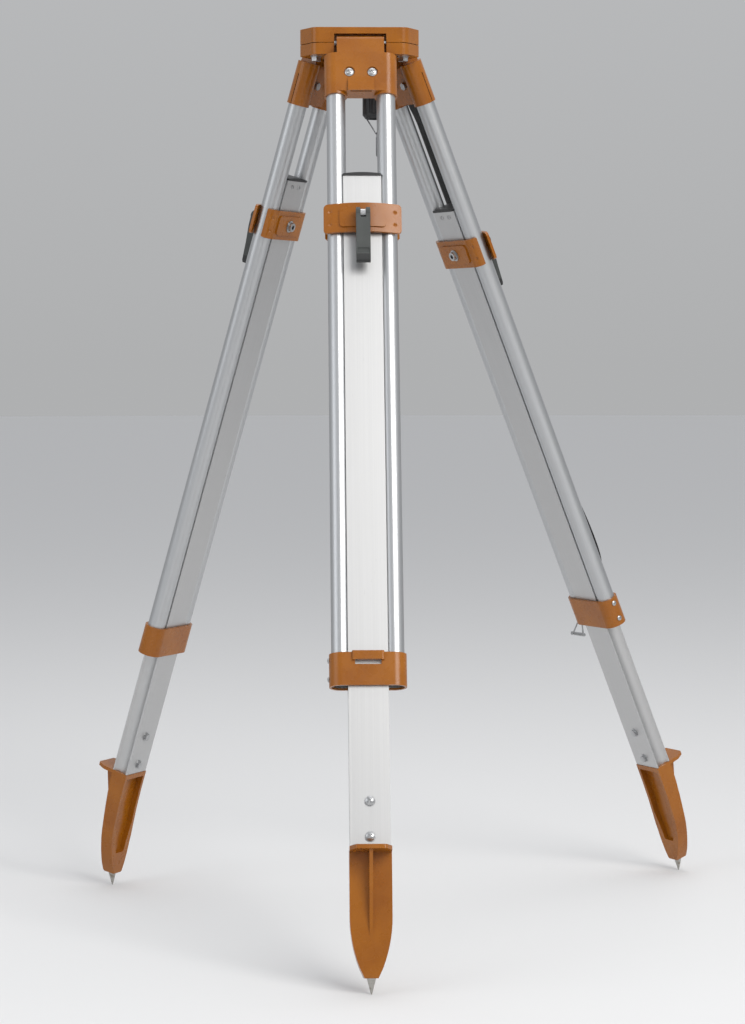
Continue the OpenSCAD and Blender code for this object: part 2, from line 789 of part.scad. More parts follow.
module lever(leg) {
    color(graphite) at_leg(leg) down(clamp_down(leg)) difference() {
        union() {
            translate([lever_pin_x, 0, 0]) rotate([90, 0, 0]) cylinder(h = lever_w, r = cam_r, center = true);
            across_leg(lever_w) polygon([
                [lever_pin_x - 6.8, 2], [lever_pin_x + 7, 2], [lever_pin_x + cam_r - 1, -14],
                [34, -36], [32.4, -lever_len + 3], [31, -lever_len], [26.2, -lever_len], [24.4, -lever_len + 2.4],
                [24.6, -30], [23.4, -14]
            ]);
        }
        // Fork for the bolt's eye
        translate([lever_pin_x - 20, -3.3, -7]) cube([40, 6.6, 30]);
        translate([lever_pin_x - 20, -5.5, -10.5]) cube([20, 11, 12]);
        translate([lever_pin_x, 0, 0]) rotate([90, 0, 0])
            cylinder(h = 40, r = lever_pin_r + running, center = true);
        // Finger scoop near the free end
        translate([lever_pin_x + 7.8, 0, -lever_len + 13]) rotate([90, 0, 0]) cylinder(h = 14, r = 6, center = true);
    }
}

// Strap on the right leg --------------------------------------------------------------------------

// A hole for each strap screw, from the given distance past the screw's end
module strap_screw_holes(past, r) {
    for (p = STRAP_SCREWS)
        translate([0, strap_y, -p[0]]) along_x(strap_screw_end - past, p[1] + over, r);
}

module carry_strap() {
    n = len(STRAP_LINE);
    outer = [for (p = STRAP_LINE) [p[1] + strap_t / 2, -p[0]]];
    inner = [for (i = [0:n - 1]) [STRAP_LINE[n - 1 - i][1] - strap_t / 2, -STRAP_LINE[n - 1 - i][0]]];
    color(black) at_leg(right) difference() {
        translate([0, strap_y, 0]) across_leg(strap_w) polygon(concat(outer, inner));
        strap_screw_holes(0, strap_screw_r + 0.1);
    }
}

// The two posts of the ring's staple, from just outside the tube's bore to their given length
module staple_posts(r, post_len) {
    for (x = [ring_x - staple_half, ring_x + staple_half]) {
        start = tube_y + sqrt(pow(tube_r, 2) - pow(abs(x) - staple_post_r, 2)) + gap;
        translate([x, start, -ring_down]) rotate([-90, 0, 0]) cylinder(h = post_len, r = r);
    }
}

module strap_fittings() {
    color(steel) at_leg(right) {
        for (p = STRAP_SCREWS)
            translate([p[1] + running, strap_y, -p[0]])
                pan_screw(4.2, 1.8, strap_screw_r, p[1] + running - strap_screw_end);
        // Staple for the ring on the collar's end
        intersection() {
            staple_posts(staple_post_r, 30);
            translate([-50, 0, -ring_down - 5]) cube([100, ring_y, 10]);
        }
        translate([ring_x, ring_y, -ring_down])
            along_x(-staple_half - staple_r, staple_half + staple_r, staple_r);
    }
}

// A wire ring with a roller, hanging from the staple; X is the radial direction and Z is up
module strap_ring() {
    eye_r = staple_r + ring_wire_r + 1;
    roller_len = 22;
    roller_r = 2.4;
    drop = 25;
    lean = 10;
    color(steel) at_leg(right) translate([ring_x, ring_y, -ring_down]) rotate([0, splay_right, 0]) {
        rotate([0, 90, 0]) rotate_extrude() translate([eye_r, 0]) circle(ring_wire_r, $fn = 24);
        translate([0, 0, -eye_r]) rotate([0, lean, 0]) {
            for (side = [-1, 1])
                wire([side * 0.7, 0, 0], [side * (roller_len / 2 - roller_r), 0, -drop], ring_wire_r - 0.1);
            translate([0, 0, -drop]) along_x(-roller_len / 2, roller_len / 2, roller_r);
        }
    }
}

head_top_plate();
head_bottom_plate();
head_corner_bolts();
hinge_pins();
arm_pivot_bolt();
screw_arm();
screw_bush();
thrust_washer();
instrument_screw();
screw_knob();
plumb_bail();
plumb_hook();
bracket(front);  // front_bracket
tubes(front);  // front_tubes
bracket_screws(front);  // front_bracket_screws
collar(front);  // front_collar
collar_screws(front);  // front_collar_screws
lower_leg(front);  // front_lower_leg
end_cap(front);  // front_end_cap
leg_bolts(front);  // front_leg_bolts
foot(front);  // front_foot
spike(front);  // front_spike
clamp_front(front);  // front_clamp_front
clamp_rear(front);  // front_clamp_rear
clamp_bolt(front);  // front_clamp_bolt
lever_pin(front);  // front_lever_pin
lever(front);  // front_lever
bracket(right);  // right_bracket
tubes(right);  // right_tubes
bracket_screws(right);  // right_bracket_screws
collar(right);  // right_collar
collar_screws(right);  // right_collar_screws
lower_leg(right);  // right_lower_leg
end_cap(right);  // right_end_cap
leg_bolts(right);  // right_leg_bolts
foot(right);  // right_foot
spike(right);  // right_spike
clamp_front(right);  // right_clamp_front
clamp_rear(right);  // right_clamp_rear
clamp_bolt(right);  // right_clamp_bolt
lever_pin(right);  // right_lever_pin
lever(right);  // right_lever
bracket(left);  // left_bracket
tubes(left);  // left_tubes
bracket_screws(left);  // left_bracket_screws
collar(left);  // left_collar
collar_screws(left);  // left_collar_screws
lower_leg(left);  // left_lower_leg
end_cap(left);  // left_end_cap
leg_bolts(left);  // left_leg_bolts
foot(left);  // left_foot
spike(left);  // left_spike
clamp_front(left);  // left_clamp_front
clamp_rear(left);  // left_clamp_rear
clamp_bolt(left);  // left_clamp_bolt
lever_pin(left);  // left_lever_pin
lever(left);  // left_lever
carry_strap();
strap_fittings();
strap_ring();
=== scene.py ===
"""Surveyor tripod: camera, light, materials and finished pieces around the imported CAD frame. Lengths are in metres."""

import json
import math

import bmesh
import bpy
from mathutils import Euler, Matrix, Vector


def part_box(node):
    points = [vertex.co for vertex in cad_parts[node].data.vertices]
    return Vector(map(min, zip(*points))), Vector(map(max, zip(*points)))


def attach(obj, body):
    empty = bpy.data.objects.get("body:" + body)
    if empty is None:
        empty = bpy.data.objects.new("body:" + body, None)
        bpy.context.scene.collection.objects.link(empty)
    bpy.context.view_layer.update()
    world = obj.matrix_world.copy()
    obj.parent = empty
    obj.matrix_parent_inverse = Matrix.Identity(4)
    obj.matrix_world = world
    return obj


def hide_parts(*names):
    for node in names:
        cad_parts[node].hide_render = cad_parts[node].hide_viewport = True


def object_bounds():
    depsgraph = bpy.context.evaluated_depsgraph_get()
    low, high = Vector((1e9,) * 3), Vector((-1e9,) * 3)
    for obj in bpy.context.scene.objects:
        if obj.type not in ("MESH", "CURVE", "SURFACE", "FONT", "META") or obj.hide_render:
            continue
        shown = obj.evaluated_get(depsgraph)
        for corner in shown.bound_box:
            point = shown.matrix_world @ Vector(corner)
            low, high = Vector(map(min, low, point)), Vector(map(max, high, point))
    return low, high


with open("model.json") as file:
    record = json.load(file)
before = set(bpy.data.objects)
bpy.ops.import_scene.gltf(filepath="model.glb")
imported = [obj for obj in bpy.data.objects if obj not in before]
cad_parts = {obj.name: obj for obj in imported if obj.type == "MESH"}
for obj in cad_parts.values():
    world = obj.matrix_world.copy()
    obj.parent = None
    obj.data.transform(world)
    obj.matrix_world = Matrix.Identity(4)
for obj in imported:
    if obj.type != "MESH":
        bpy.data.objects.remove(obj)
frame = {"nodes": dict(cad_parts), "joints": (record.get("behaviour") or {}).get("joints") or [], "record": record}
cad_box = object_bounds()
nodes = frame["nodes"]
joints = {j["name"]: j for j in frame["joints"]}
body_of_node = {n: body for body, members in frame["record"]["behaviour"]["bodies"].items() for n in members}
slot_of_node = {row["node"]: row["material_slot"] for row in frame["record"]["subparts"]}
LEGS = ("front", "right", "left")
MM = 0.001

# Camera: where it stands, its heading from +Y towards +X, its pitch and its roll, in degrees
CAMERA_PLACE = (-0.092, -3.240, -0.409)
CAMERA_HEADING = 1.91
CAMERA_PITCH = -3.36
CAMERA_ROLL = -0.08
CAMERA_LENS = 90.5

# Studio colours, linear: the horizon has the brightness of the far floor
HORIZON = (0.43, 0.435, 0.44)
CEILING = (0.62, 0.63, 0.65)
FLOOR = (0.74, 0.74, 0.74)

# Colours, linear
ORANGE = (0.325, 0.106, 0.005)
ORANGE_DEEP = (0.265, 0.080, 0.004)
ORANGE_WORN = (0.42, 0.19, 0.05)
TUBE_SILVER = (0.54, 0.55, 0.56)
PANEL_SILVER = (0.58, 0.58, 0.58)
PLASTIC_BLACK = (0.010, 0.010, 0.011)
GRAPHITE = (0.036, 0.040, 0.038)
# Painted shade: the darker colour painted over the lever's bent lower tip
GRAPHITE_TIP_SHADE = (0.012, 0.013, 0.013)
ENAMEL_BLACK = (0.014, 0.014, 0.015)
WEBBING_BLACK = (0.007, 0.007, 0.008)
ZINC = (0.48, 0.485, 0.49)
SPIKE_GREY = (0.50, 0.49, 0.46)
BRASS = (0.74, 0.55, 0.24)
WIRE_GREY = (0.20, 0.20, 0.21)


# Mesh clean-up before rounding: the merge distance, and the bend in degrees that still counts as one plane
MERGE_DISTANCE = 0.00001
FLAT_BEND = 0.8

# The instrument screw's thread
THREAD_PITCH = 0.0254 / 11
THREAD_DEPTH = 0.6 * THREAD_PITCH
THREAD_CHAMFER = 0.0015

# The carry strap's webbing, its selvedge and its stitched boxes
STRAP_THICK = 0.0014
SELVEDGE = 0.0012
STITCH_BOX = 0.020
STITCH_FROM_END = 0.012
STITCH_INSET = 0.0035
STITCH_LENGTH = 0.0028


# Frame helpers --------------------------------------------------------------------------------------

def leg_matrix(leg):
    """The leg's own frame: the hinge pin at the origin, X out of its outer face, Y across it and Z up along it."""
    spread, slide = joints[f"{leg}_leg_spread"], joints[f"{leg}_leg_slide"]
    up = -Vector(slide["axis"]).normalized()
    across = -Vector(spread["axis"]).normalized()
    matrix = Matrix((across.cross(up), across, up)).transposed().to_4x4()
    matrix.translation = Vector(spread["pos_m"])
    return matrix


leg_frames = {leg: leg_matrix(leg) for leg in LEGS}


def leg_of(node):
    return next((leg for leg in LEGS if node.startswith(leg + "_")), "right" if "strap" in node else None)


def local_box(node, matrix):
    """Lowest and highest corner of a CAD node in the frame that matrix stands for."""
    inverse = matrix.inverted()
    points = [inverse @ v.co for v in nodes[node].data.vertices]
    return (Vector(min(p[i] for p in points) for i in range(3)),
            Vector(max(p[i] for p in points) for i in range(3)))


# Camera, light and floor ----------------------------------------------------------------------------

def add_camera():
    camera = bpy.data.objects.new("camera", bpy.data.cameras.new("camera"))
    bpy.context.scene.collection.objects.link(camera)
    camera.data.lens = CAMERA_LENS
    camera.data.sensor_width = 36
    camera.data.clip_start = 0.05
    camera.data.clip_end = 100
    camera.location = CAMERA_PLACE
    turn = Euler((math.radians(90 + CAMERA_PITCH), 0, -math.radians(CAMERA_HEADING)), "XYZ").to_matrix()
    camera.rotation_euler = (turn @ Matrix.Rotation(math.radians(CAMERA_ROLL), 3, "Z")).to_euler()
    bpy.context.scene.camera = camera


def add_area_light(name, place, target, size, watts, colour=(1, 1, 1)):
    light = bpy.data.lights.new(name, "AREA")
    light.shape = "RECTANGLE"
    light.size, light.size_y = size
    light.energy = watts
    light.color = colour
    lamp = bpy.data.objects.new(name, light)
    bpy.context.scene.collection.objects.link(lamp)
    lamp.location = place
    lamp.rotation_euler = (Vector(target) - Vector(place)).to_track_quat("-Z", "Y").to_euler()


def add_studio():
    middle = (cad_box[0] + cad_box[1]) / 2
    add_area_light("key_light", (2.0, -3.0, 1.9), middle, (2.4, 2.4), 118, (1, 0.985, 0.96))
    add_area_light("fill_light", (-3.0, -1.6, 0.8), middle, (2.2, 2.2), 20, (0.95, 0.97, 1))
    add_area_light("top_light", (0.2, 0.5, 2.6), middle, (1.8, 1.8), 26)

    world = bpy.data.worlds.new("studio")
    bpy.context.scene.world = world
    world.use_nodes = True
    tree = world.node_tree
    place = tree.nodes.new("ShaderNodeTexCoord")
    height = tree.nodes.new("ShaderNodeSeparateXYZ")
    tree.links.new(place.outputs["Generated"], height.inputs["Vector"])
    ramp = tree.nodes.new("ShaderNodeValToRGB")
    ramp.color_ramp.elements[0].color = (*HORIZON, 1)
    ramp.color_ramp.elements[1].color = (*CEILING, 1)
    ramp.color_ramp.elements[1].position = 0.6
    tree.links.new(height.outputs["Z"], ramp.inputs["Fac"])
    tree.links.new(ramp.outputs["Color"], tree.nodes["Background"].inputs["Color"])

    bm = bmesh.new()
    bmesh.ops.create_circle(bm, cap_ends=True, radius=30, segments=96)
    bmesh.ops.translate(bm, verts=bm.verts, vec=(0, 0, cad_box[0].z))
    mesh = bpy.data.meshes.new("floor")
    bm.to_mesh(mesh)
    bm.free()
    floor = bpy.data.objects.new("floor", mesh)
    bpy.context.scene.collection.objects.link(floor)
    paint = bpy.data.materials.new("floor_paper")
    paint.use_nodes = True
    shader = paint.node_tree.nodes["Principled BSDF"]
    shader.inputs["Base Color"].default_value = (*FLOOR, 1)
    shader.inputs["Roughness"].default_value = 0.9
    shader.inputs["Specular IOR Level"].default_value = 0.1
    mesh.materials.append(paint)
    bpy.context.scene.view_settings.view_transform = "Standard"


# Material graphs ------------------------------------------------------------------------------------

class Paint:
    """A Principled material with short calls for the nodes that drive it."""

    def __init__(self, name, roughness=0.5, metallic=0.0, frame_matrix=None, use_uv=False):
        self.material = bpy.data.materials.new(name)
        self.material.use_nodes = True
        self.tree = self.material.node_tree
        self.shader = self.tree.nodes["Principled BSDF"]
        self.set("Roughness", roughness)
        self.set("Metallic", metallic)
        source = self.tree.nodes.new("ShaderNodeTexCoord")
        self.coords = source.outputs["UV" if use_uv else "Object"]
        if frame_matrix is not None:
            mapping = self.tree.nodes.new("ShaderNodeMapping")
            mapping.vector_type = "TEXTURE"
            mapping.inputs["Location"].default_value = frame_matrix.translation
            mapping.inputs["Rotation"].default_value = frame_matrix.to_euler()
            self.tree.links.new(self.coords, mapping.inputs["Vector"])
            self.coords = mapping.outputs["Vector"]

    def set(self, socket, value):
        self.shader.inputs[socket].default_value = value

    def link(self, output, socket):
        self.tree.links.new(output, self.shader.inputs[socket])

    def stretch(self, scale):
        """The coordinates with each axis scaled."""
        node = self.tree.nodes.new("ShaderNodeVectorMath")
        node.operation = "MULTIPLY"
        node.inputs[1].default_value = scale
        self.tree.links.new(self.coords, node.inputs[0])
        return node.outputs["Vector"]

    def axis(self, index):
        node = self.tree.nodes.new("ShaderNodeSeparateXYZ")
        self.tree.links.new(self.coords, node.inputs["Vector"])
        return node.outputs[index]

    def noise(self, scale, detail=2.0, rough=0.5, coords=None):
        node = self.tree.nodes.new("ShaderNodeTexNoise")
        node.inputs["Scale"].default_value = scale
        node.inputs["Detail"].default_value = detail
        node.inputs["Roughness"].default_value = rough
        self.tree.links.new(coords or self.coords, node.inputs["Vector"])
        return node.outputs["Fac"]

    def voronoi(self, scale, coords=None):
        node = self.tree.nodes.new("ShaderNodeTexVoronoi")
        node.inputs["Scale"].default_value = scale
        self.tree.links.new(coords or self.coords, node.inputs["Vector"])
        return node.outputs["Distance"]

    def attribute(self, name):
        node = self.tree.nodes.new("ShaderNodeAttribute")
        node.attribute_name = name
        return node.outputs["Fac"]

    def math(self, operation, a, b=0.0, clamp=False):
        node = self.tree.nodes.new("ShaderNodeMath")
        node.operation = operation
        node.use_clamp = clamp
        for socket, value in zip(node.inputs, (a, b)):
            if isinstance(value, (int, float)):
                socket.default_value = value
            else:
                self.tree.links.new(value, socket)
        return node.outputs["Value"]

    def span(self, value, low, high, to_low=0.0, to_high=1.0):
        """Maps low..high to to_low..to_high, and holds the ends."""
        node = self.tree.nodes.new("ShaderNodeMapRange")
        for socket, number in zip(("From Min", "From Max", "To Min", "To Max"), (low, high, to_low, to_high)):
            node.inputs[socket].default_value = number
        self.tree.links.new(value, node.inputs["Value"])
        return node.outputs["Result"]

    def mix(self, factor, a, b):
        """Mixes two colours, each a tuple or another mix."""
        node = self.tree.nodes.new("ShaderNodeMix")
        node.data_type = "RGBA"
        self.tree.links.new(factor, node.inputs["Factor"])
        for socket, value in (("A", a), ("B", b)):
            place = next(s for s in node.inputs if s.name == socket and s.type == "RGBA")
            if isinstance(value, tuple):
                place.default_value = (*value, 1)
            else:
                self.tree.links.new(value, place)
        return next(s for s in node.outputs if s.type == "RGBA")

    def bump(self, height, depth, below=None):
        """Adds a bump of that depth in metres on top of an earlier one."""
        node = self.tree.nodes.new("ShaderNodeBump")
        node.inputs["Strength"].default_value = 1
        node.inputs["Distance"].default_value = depth
        self.tree.links.new(height, node.inputs["Height"])
        if below is not None:
            self.tree.links.new(below, node.inputs["Normal"])
        self.link(node.outputs["Normal"], "Normal")
        return node.outputs["Normal"]


def powder_coat(name, matrix):
    """Glossy orange powder coat over a casting, with orange peel, rubbed edges and a little dust."""
    p = Paint(name, frame_matrix=matrix)
    cloud = p.noise(22, 4)
    colour = p.mix(p.span(cloud, 0.35, 0.7), ORANGE, ORANGE_DEEP)
    fleck = p.noise(420, 3, 0.7)
    colour = p.mix(p.span(fleck, 0.64, 0.74, 0, 0.35), colour, ORANGE_WORN)
    rub = p.math("MULTIPLY", p.attribute("edge"), p.span(p.noise(150, 4, 0.65), 0.50, 0.66))
    colour = p.mix(p.math("MULTIPLY", rub, 0.7), colour, ORANGE_WORN)
    p.link(colour, "Base Color")
    rough = p.span(p.noise(60, 5, 0.6), 0.3, 0.75, 0.22, 0.36)
    p.link(p.math("ADD", rough, p.math("MULTIPLY", rub, 0.15)), "Roughness")
    p.set("Specular IOR Level", 0.35)
    p.set("Coat Weight", 0.15)
    p.set("Coat Roughness", 0.16)
    low = p.bump(p.noise(160, 2), 0.00008)
    p.bump(p.noise(700, 2, 0.6), 0.00003, low)
    return p.material


def anodised(name, matrix, base, rough, streak):
    """Satin anodised aluminium, drawn or brushed along the leg, with faint handling marks."""
    p = Paint(name, metallic=1.0, frame_matrix=matrix)
    lines = p.noise(1.0, 3, 0.6, p.stretch((1500, 1500, 2.2)))
    broad = p.noise(1.0, 2, 0.5, p.stretch((260, 260, 1.1)))
    cloud = p.noise(9, 4)
    darker = tuple(c * 0.90 for c in base)
    colour = p.mix(p.span(lines, 0.3, 0.7), darker, base)
    colour = p.mix(p.span(cloud, 0.35, 0.75, 0, 0.5), colour, tuple(c * 0.93 for c in base))
    scuff = p.noise(1.0, 5, 0.7, p.stretch((420, 420, 60)))
    scuff = p.span(scuff, 0.66, 0.74, 0, 0.4)
    p.link(p.mix(scuff, colour, tuple(c * 0.72 for c in base)), "Base Color")
    level = p.span(lines, 0.25, 0.75, rough - 0.05, rough + 0.06)
    p.link(p.math("ADD", level, p.math("MULTIPLY", scuff, 0.2)), "Roughness")
    fine = p.bump(lines, streak)
    p.bump(broad, streak * 1.6, fine)
    return p.material


def moulded_plastic(name, matrix, base, rough, tip_shade=None, shade_below=None):
    """Fine-grained moulded plastic; given a second colour and a height on the leg, it paints that colour below the
    height, as painted shade on the lever's bent lower tip.
    """
    p = Paint(name, frame_matrix=matrix)
    worn = tuple(c * 1.7 + 0.006 for c in base)
    colour = p.mix(p.span(p.noise(35, 4), 0.4, 0.75, 0, 0.5), base, worn)
    # Painted shade: below the given height on the leg the colour turns to the given darker colour
    if tip_shade is not None:
        shade_mask = p.span(p.axis(2), shade_below + 0.0006, shade_below - 0.0006)
        colour = p.mix(shade_mask, colour, tip_shade)
    rub = p.math("MULTIPLY", p.attribute("edge"), p.span(p.noise(260, 3), 0.45, 0.65))
    p.link(p.mix(p.math("MULTIPLY", rub, 0.5), colour, tuple(c * 2.2 + 0.03 for c in base)), "Base Color")
    p.link(p.span(p.noise(90, 3), 0.3, 0.7, rough - 0.06, rough + 0.08), "Roughness")
    grain = p.bump(p.voronoi(1900), 0.00004)
    p.bump(p.noise(500, 3), 0.00003, grain)
    return p.material


def plated_steel(name, base, rough, metallic=1.0, dull=0.75):
    """Plated or bare steel with fine pits and dull patches."""
    p = Paint(name, metallic=metallic)
    cloud = p.noise(120, 4, 0.6)
    p.link(p.mix(p.span(cloud, 0.45, 0.72), base, tuple(c * dull for c in base)), "Base Color")
    p.link(p.span(p.noise(300, 3), 0.3, 0.7, rough - 0.07, rough + 0.10), "Roughness")
    p.bump(p.noise(1400, 3), 0.00002)
    return p.material


def turned_steel(name, matrix):
    """The spike: turned rings along its axis, dulled and lightly soiled."""
    p = Paint(name, metallic=1.0, frame_matrix=matrix)
    rings = p.noise(1.0, 2, 0.6, p.stretch((6, 6, 2600)))
    soil = p.span(p.noise(170, 5, 0.7), 0.52, 0.66)
    colour = p.mix(p.span(rings, 0.3, 0.7), tuple(c * 0.82 for c in SPIKE_GREY), SPIKE_GREY)
    p.link(p.mix(soil, colour, (0.24, 0.20, 0.15)), "Base Color")
    p.link(p.span(soil, 0, 1, 0.30, 0.62), "Roughness")
    p.bump(rings, 0.00004)
    return p.material


def webbing(name):
    """Woven webbing: U runs across the strap and V along it, both in metres."""
    p = Paint(name, roughness=0.82, use_uv=True)
    across, along = p.axis(0), p.axis(1)
    pair = 0.0016
    row = 0.0011
    zigzag = p.math("PINGPONG", across, pair * 2)
    lean = p.math("ADD", along, zigzag)
    ribs = p.math("SINE", p.math("MULTIPLY", lean, 2 * math.pi / row))
    warp = p.math("SINE", p.math("MULTIPLY", across, 2 * math.pi / pair))
    weave = p.math("ADD", p.math("MULTIPLY", ribs, 0.5), p.math("MULTIPLY", warp, 0.5))
    fuzz = p.noise(2500, 3, 0.7)
    colour = p.mix(p.span(weave, -0.8, 0.8), tuple(c * 0.5 for c in WEBBING_BLACK), (0.020, 0.020, 0.023))
    p.link(p.mix(p.span(p.noise(30, 4), 0.4, 0.7, 0, 0.5), colour, (0.030, 0.029, 0.028)), "Base Color")
    p.set("Sheen Weight", 0.12)
    p.set("Sheen Roughness", 0.5)
    body = p.bump(weave, 0.00022)
    p.bump(fuzz, 0.00008, body)
    return p.material


# Mesh helpers ---------------------------------------------------------------------------------------

def new_piece(name, bm, material, body, smooth_angle=40):
    mesh = bpy.data.meshes.new(name)
    bm.to_mesh(mesh)
    bm.free()
    piece = bpy.data.objects.new(name, mesh)
    bpy.context.scene.collection.objects.link(piece)
    mesh.materials.clear()
    mesh.materials.append(material)
    mesh.shade_smooth()
    mesh.set_sharp_from_angle(angle=math.radians(smooth_angle))
    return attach(piece, body)


def weighted_normals(piece):
    """Gives flat faces flat shading between rounded edges."""
    modifier = piece.modifiers.new("normals", "WEIGHTED_NORMAL")
    modifier.keep_sharp = True
    modifier.weight = 80


def rounded_copy(node, material, width, segments=3, sharp=32):
    """A finished copy of a CAD node with its sharp edges rounded; it stands for that node."""
    bm = bmesh.new()
    bm.from_mesh(nodes[node].data)
    bmesh.ops.remove_doubles(bm, verts=bm.verts, dist=MERGE_DISTANCE)
    bmesh.ops.dissolve_degenerate(bm, edges=bm.edges, dist=MERGE_DISTANCE)
    bmesh.ops.dissolve_limit(bm, angle_limit=math.radians(FLAT_BEND), verts=bm.verts, edges=bm.edges)
    bmesh.ops.recalc_face_normals(bm, faces=bm.faces)
    edges = [e for e in bm.edges if e.is_manifold and e.calc_face_angle(0) > math.radians(sharp)]
    made = bmesh.ops.bevel(bm, geom=edges, offset=width, offset_type="OFFSET", segments=segments, profile=0.5,
                           affect="EDGES", clamp_overlap=True, loop_slide=True)
    layer = bm.verts.layers.float.new("edge")
    bevelled = set(made["faces"])
    flat = {v for f in bm.faces if f not in bevelled for v in f.verts} if bevelled else set()
    for v in bm.verts:
        v[layer] = 0.0 if v in flat else 1.0
    piece = new_piece(node + "_finished", bm, material, body_of_node[node])
    weighted_normals(piece)
    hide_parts(node)
    return piece


def paint_node(node, material):
    """Gives a carried CAD node its material."""
    mesh = nodes[node].data
    mesh.materials.clear()
    mesh.materials.append(material)


# Pieces ---------------------------------------------------------------------------------------------

def threaded_screw(material):
    """The 5/8-11 instrument screw with its real thread, in the place of its plain CAD core."""
    low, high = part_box("instrument_screw")
    centre = (low + high) / 2
    major = (high.x - low.x) / 2
    sides, rows_per_turn = 40, 10
    rows = int((high.z - low.z) / THREAD_PITCH * rows_per_turn)
    bm = bmesh.new()
    rings = []
    for i in range(rows + 1):
        z = low.z + (high.z - low.z) * i / rows
        taper = max(0.0, THREAD_CHAMFER - (high.z - z)) * 0.9
        ring = []
        for j in range(sides):
            turn = 2 * math.pi * j / sides
            phase = ((z - low.z) / THREAD_PITCH - j / sides) % 1
            cut = max(0.0, 1 - abs(phase - 0.5) * 2 / 0.88)
            r = major - THREAD_DEPTH * cut - taper
            ring.append(bm.verts.new((centre.x + r * math.cos(turn), centre.y + r * math.sin(turn), z)))
        rings.append(ring)
    for a, b in zip(rings, rings[1:]):
        for j in range(sides):
            k = (j + 1) % sides
            bm.faces.new((a[j], a[k], b[k], b[j]))
    bm.faces.new(rings[-1])
    bm.faces.new(rings[0][::-1])
    piece = new_piece("instrument_screw_threaded", bm, material, body_of_node["instrument_screw"])
    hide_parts("instrument_screw")


def strap_line(matrix):
    """The middle line of the strap's CAD solid, as [height out of the leg, distance up it], from its top end."""
    inverse = matrix.inverted()
    points = [inverse @ v.co for v in nodes["carry_strap"].data.vertices]
    side = min(p.y for p in points)
    rows = {}
    for p in points:
        if p.y < side + 0.0001:
            rows.setdefault(round(p.z, 4), []).append(p.x)
    return side, [Vector((sum(xs) / len(xs), z)) for z, xs in sorted(rows.items(), reverse=True)]


def smooth_line(points, step):
    """A Catmull-Rom line through the points, about one point every step."""
    ends = [points[0] * 2 - points[1], *points, points[-1] * 2 - points[-2]]
    line = []
    for a, b, c, d in zip(ends, ends[1:], ends[2:], ends[3:]):
        count = max(1, round((c - b).length / step))
        for i in range(count):
            t = i / count
            line.append(0.5 * (2 * b + (c - a) * t + (2 * a - 5 * b + 4 * c - d) * t ** 2
                               + (3 * b - a - 3 * c + d) * t ** 3))
    return [*line, points[-1]]


def carry_strap(material, thread):
    """The carry strap: one length of webbing with rounded selvedges and a stitched box at each end."""
    matrix = leg_frames["right"]
    side, rough_line = strap_line(matrix)
    low, high = local_box("carry_strap", matrix)
    width = high.y - low.y
    line = smooth_line(rough_line, 0.004)
    lengths = [0.0]
    for a, b in zip(line, line[1:]):
        lengths.append(lengths[-1] + (b - a).length)
    across = 10
    profile = []
    for half in (1, -1):
        for i in range(across + 1):
            u = i / across if half == 1 else 1 - i / across
            edge = min(u, 1 - u) * width
            lift = STRAP_THICK / 2 * math.sqrt(max(0.0, 1 - max(0.0, 1 - edge / SELVEDGE) ** 2))
            profile.append((u * width, half * max(lift, 0.00005)))
    bm = bmesh.new()
    uv = bm.loops.layers.uv.new("weave")
    rings, place = [], {}
    for i, (point, run) in enumerate(zip(line, lengths)):
        ahead = line[min(i + 1, len(line) - 1)] - line[max(i - 1, 0)]
        normal = Vector((-ahead.y, ahead.x)).normalized()
        if normal.x < 0:
            normal = -normal
        cup = 0.0004 * math.sin(run * 23)
        ring = []
        for u, lift in profile:
            sway = cup * (1 - (2 * u / width - 1) ** 2)
            at = point + normal * (lift + sway)
            v = bm.verts.new(matrix @ Vector((at.x, side + u, at.y)))
            place[v] = (u, run)
            ring.append(v)
        rings.append(ring)
    count = len(profile)
    for a, b in zip(rings, rings[1:]):
        for j in range(count):
            k = (j + 1) % count
            bm.faces.new((a[j], b[j], b[k], a[k]))
    bm.faces.new(rings[0])
    bm.faces.new(rings[-1][::-1])
    bmesh.ops.recalc_face_normals(bm, faces=bm.faces)
    for face in bm.faces:
        for loop in face.loops:
            loop[uv].uv = place[loop.vert]
    strap = new_piece("carry_strap_webbing", bm, material, body_of_node["carry_strap"], 50)
    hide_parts("carry_strap")
    stitches = strap_stitches(line, lengths, side, width, matrix, thread)


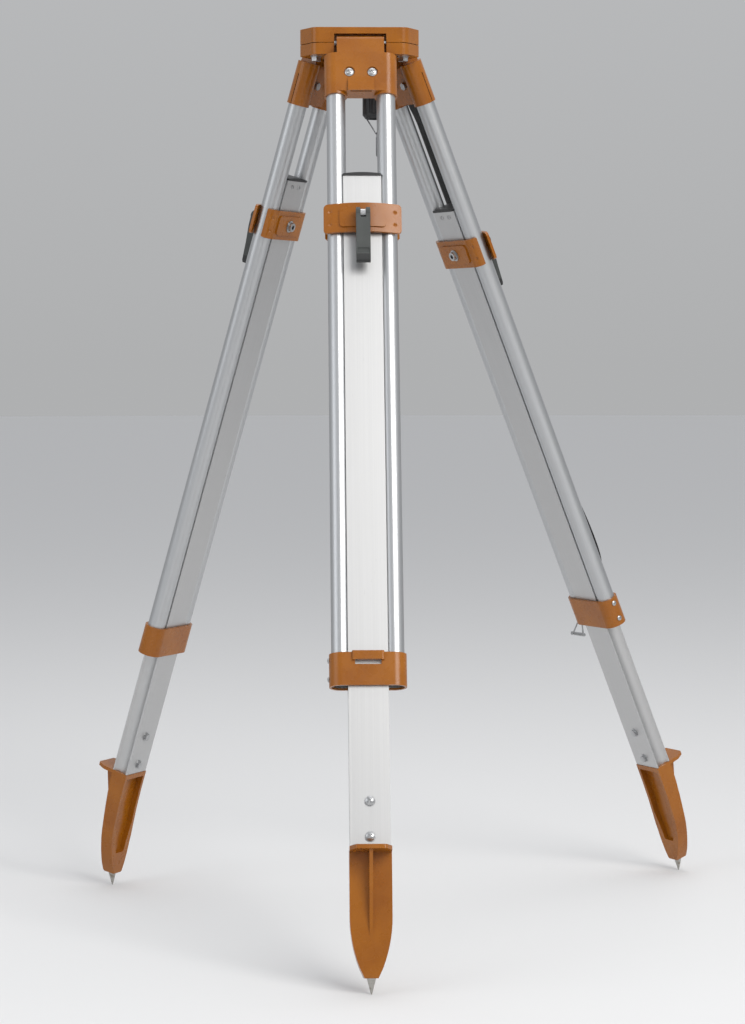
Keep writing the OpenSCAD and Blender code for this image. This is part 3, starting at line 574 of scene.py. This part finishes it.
def strap_stitches(line, lengths, side, width, matrix, thread):
    """A stitched box near each end of the strap, as short raised threads."""
    bm = bmesh.new()

    def on_strap(u, run):
        i = max(k for k, r in enumerate(lengths) if r <= run)
        i = min(i, len(line) - 2)
        t = (run - lengths[i]) / (lengths[i + 1] - lengths[i])
        point, ahead = line[i].lerp(line[i + 1], t), line[i + 1] - line[i]
        normal = Vector((-ahead.y, ahead.x)).normalized()
        normal = normal if normal.x > 0 else -normal
        at = point + normal * (STRAP_THICK / 2 + 0.0002)
        return matrix @ Vector((at.x, side + u, at.y)), matrix.to_3x3() @ Vector((normal.x, 0, normal.y))

    def seam(u1, run1, u2, run2):
        steps = max(1, int(math.hypot(u2 - u1, run2 - run1) / STITCH_LENGTH))
        for i in range(steps):
            ends = [on_strap(u1 + (u2 - u1) * t, run1 + (run2 - run1) * t)
                    for t in ((i + 0.12) / steps, (i + 0.88) / steps)]
            (a, normal), (b, _) = ends
            centre, axis = (a + b) / 2, b - a
            sidewise = axis.cross(normal).normalized()
            turn = Matrix((axis.normalized(), sidewise, normal)).transposed().to_4x4()
            turn.translation = centre
            shape = bmesh.ops.create_icosphere(bm, subdivisions=2, radius=1)["verts"]
            scale = Matrix.Diagonal((axis.length / 2, 0.00042, 0.00030, 1))
            bmesh.ops.transform(bm, matrix=turn @ scale, verts=shape)

    left, right = STITCH_INSET, width - STITCH_INSET
    for start in (STITCH_FROM_END, lengths[-1] - STITCH_FROM_END - STITCH_BOX):
        end = start + STITCH_BOX
        for u1, r1, u2, r2 in ((left, start, right, start), (left, end, right, end), (left, start, left, end),
                               (right, start, right, end), (left, start, right, end), (left, end, right, start)):
            seam(u1, r1, u2, r2)
    piece = new_piece("carry_strap_stitches", bm, thread, body_of_node["carry_strap"])
    return piece


# Build ----------------------------------------------------------------------------------------------

# Rounding of the edges on each finished casting or moulding, by the end of its node's name
EDGE_WIDTH = {
    "top_plate": 1.0 * MM, "bottom_plate": 0.8 * MM, "bracket": 0.8 * MM, "collar": 0.9 * MM, "foot": 1.2 * MM,
    "clamp_front": 0.7 * MM, "clamp_rear": 0.7 * MM, "lever": 0.9 * MM, "screw_knob": 0.6 * MM,
    "end_cap": 0.5 * MM, "screw_arm": 0.6 * MM
}

add_camera()
add_studio()

coat = {leg: powder_coat(f"orange_powder_coat_{leg}", leg_frames[leg]) for leg in LEGS}
head_coat = powder_coat("orange_powder_coat_head", Matrix.Identity(4))
tube_metal = {leg: anodised(f"anodised_tube_{leg}", leg_frames[leg], TUBE_SILVER, 0.40, 0.000012) for leg in LEGS}
panel_metal = {leg: anodised(f"anodised_panel_{leg}", leg_frames[leg], PANEL_SILVER, 0.46, 0.000015)
               for leg in LEGS}
black_plastic = moulded_plastic("black_plastic", Matrix.Identity(4), PLASTIC_BLACK, 0.42)
enamel = moulded_plastic("black_enamel", Matrix.Identity(4), ENAMEL_BLACK, 0.32)
zinc = plated_steel("zinc_steel", ZINC, 0.34)
brass = plated_steel("brass", BRASS, 0.28)
dark_wire = plated_steel("dark_wire", WIRE_GREY, 0.38)
spike_metal = {leg: turned_steel(f"spike_steel_{leg}", leg_frames[leg]) for leg in LEGS}
lever_plastic = {}
# Each lever's lowest 9 mm is painted darker, as painted shade on its bent tip
for leg in LEGS:
    bottom = local_box(f"{leg}_lever", leg_frames[leg])[0].z
    lever_plastic[leg] = moulded_plastic(f"graphite_plastic_{leg}", leg_frames[leg], GRAPHITE, 0.46,
                                         GRAPHITE_TIP_SHADE, bottom + 9 * MM)


def finish_for(node):
    """The material of a CAD node, by its slot in the record and its leg."""
    slot, leg = slot_of_node[node], leg_of(node)
    by_slot = {
        "orange_powder_coat": coat.get(leg, head_coat), "anodised_tube": tube_metal.get(leg),
        "anodised_panel": panel_metal.get(leg), "black_plastic": black_plastic, "black_enamel": enamel,
        "graphite_plastic": lever_plastic.get(leg), "spike_steel": spike_metal.get(leg), "brass": brass,
        "dark_wire": dark_wire, "zinc_steel": zinc
    }
    return by_slot[slot]


for node in nodes:
    ending = next((e for e in EDGE_WIDTH if node.endswith(e)), None)
    if node in ("carry_strap", "instrument_screw"):
        continue
    if ending:
        rounded_copy(node, finish_for(node), EDGE_WIDTH[ending])
    else:
        paint_node(node, finish_for(node))

threaded_screw(brass)
carry_strap(webbing("black_webbing"), plated_steel("strap_thread", (0.03, 0.03, 0.033), 0.7, metallic=0.0))
